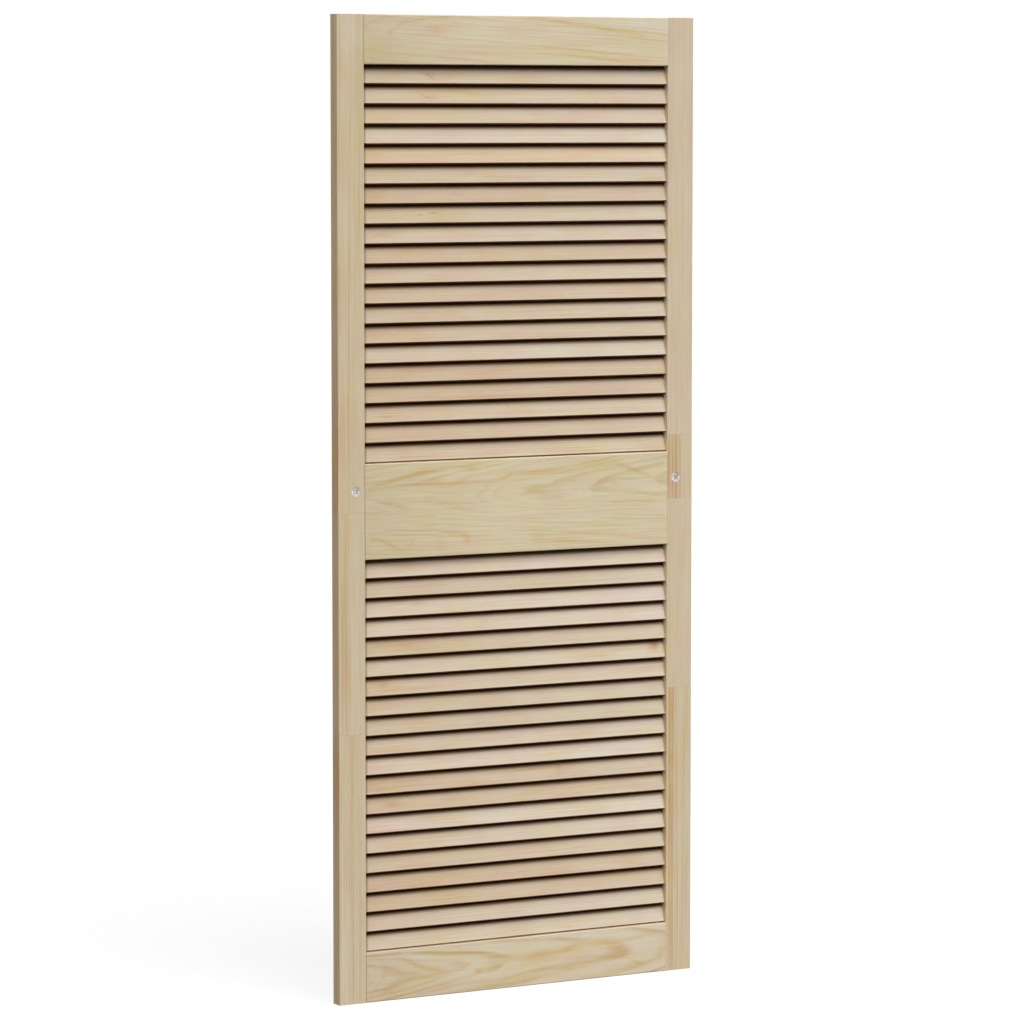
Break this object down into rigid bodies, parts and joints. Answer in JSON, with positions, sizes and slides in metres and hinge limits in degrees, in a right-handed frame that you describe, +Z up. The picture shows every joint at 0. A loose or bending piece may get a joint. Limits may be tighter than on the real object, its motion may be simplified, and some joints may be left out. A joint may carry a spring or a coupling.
{
  "type": "louvred cabinet door",
  "caption": "Tall pine cabinet door with two panels of fixed, closed slats between stiles and rails, joined with dowels and flush cam fittings.",
  "frame": {"origin": "middle of the bottom edge, halfway through the thickness", "axes": "+X to the right across the front face, +Y from the front face to the back, +Z up the door"},
  "size_m": [0.594, 0.021, 1.422],
  "materials": {
    "pine_frame": "planed and sanded, unfinished",
    "pine_slat": "planed and sanded, unfinished",
    "beech_dowel": "turned",
    "cam_metal": "bright die casting",
    "bolt_steel": "zinc plated"
  },
  "bodies": {
    "root": {"left_stile_lower": "pine_frame", "left_stile_middle": "pine_frame", "left_stile_upper": "pine_frame", "right_stile_lower": "pine_frame", "right_stile_middle": "pine_frame", "right_stile_cam_length": "pine_frame", "right_stile_upper": "pine_frame", "top_rail": "pine_frame", "middle_rail": "pine_frame", "bottom_rail": "pine_frame", "top_rail_dowels": "beech_dowel", "middle_rail_dowels": "beech_dowel", "bottom_rail_dowels": "beech_dowel", "left_cam": "cam_metal", "right_cam": "cam_metal", "left_cam_bolt": "bolt_steel", "right_cam_bolt": "bolt_steel", "upper_slat_01": "pine_slat", "upper_slat_02": "pine_slat", "upper_slat_03": "pine_slat", "upper_slat_04": "pine_slat", "upper_slat_05": "pine_slat", "upper_slat_06": "pine_slat", "upper_slat_07": "pine_slat", "upper_slat_08": "pine_slat", "upper_slat_09": "pine_slat", "upper_slat_10": "pine_slat", "upper_slat_11": "pine_slat", "upper_slat_12": "pine_slat", "upper_slat_13": "pine_slat", "upper_slat_14": "pine_slat", "upper_slat_15": "pine_slat", "upper_slat_16": "pine_slat", "upper_slat_17": "pine_slat", "upper_slat_18": "pine_slat", "upper_slat_19": "pine_slat", "upper_slat_20": "pine_slat", "lower_slat_01": "pine_slat", "lower_slat_02": "pine_slat", "lower_slat_03": "pine_slat", "lower_slat_04": "pine_slat", "lower_slat_05": "pine_slat", "lower_slat_06": "pine_slat", "lower_slat_07": "pine_slat", "lower_slat_08": "pine_slat", "lower_slat_09": "pine_slat", "lower_slat_10": "pine_slat", "lower_slat_11": "pine_slat", "lower_slat_12": "pine_slat", "lower_slat_13": "pine_slat", "lower_slat_14": "pine_slat", "lower_slat_15": "pine_slat", "lower_slat_16": "pine_slat", "lower_slat_17": "pine_slat", "lower_slat_18": "pine_slat", "lower_slat_19": "pine_slat", "lower_slat_20": "pine_slat"}
  },
  "joints": []
}
